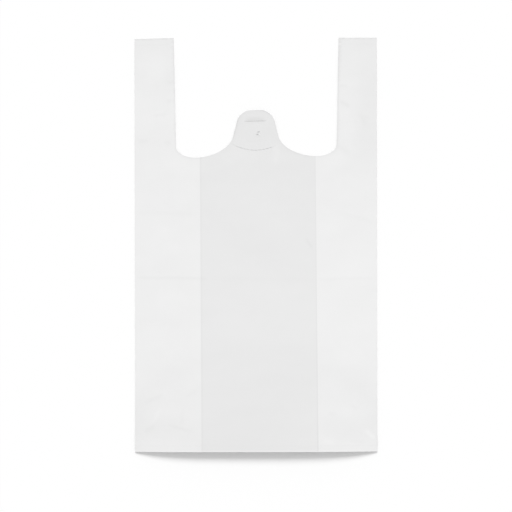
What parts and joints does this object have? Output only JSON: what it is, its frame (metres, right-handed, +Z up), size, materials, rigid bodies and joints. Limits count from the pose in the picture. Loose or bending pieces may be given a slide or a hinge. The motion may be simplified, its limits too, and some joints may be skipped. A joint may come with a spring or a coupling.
{
  "type": "plastic carrier bag",
  "caption": "Flat, empty carrier bag of thin white film with gusseted sides, loop handles and a slotted hanging tab, for carrying shopping.",
  "frame": {"origin": "middle of the back panel's underside, on the surface that the bag lies on", "axes": "+Y runs up the bag from its bottom edge to its handles, +X across it, and +Z up through the plies from the back panel to the front panel"},
  "size_m": [0.28, 0.478, 0.0015],
  "materials": {
    "white_film": "thin blown film, milky white, satin with a faint crinkle"
  },
  "bodies": {
    "root": {"bag": "white_film"}
  },
  "joints": []
}
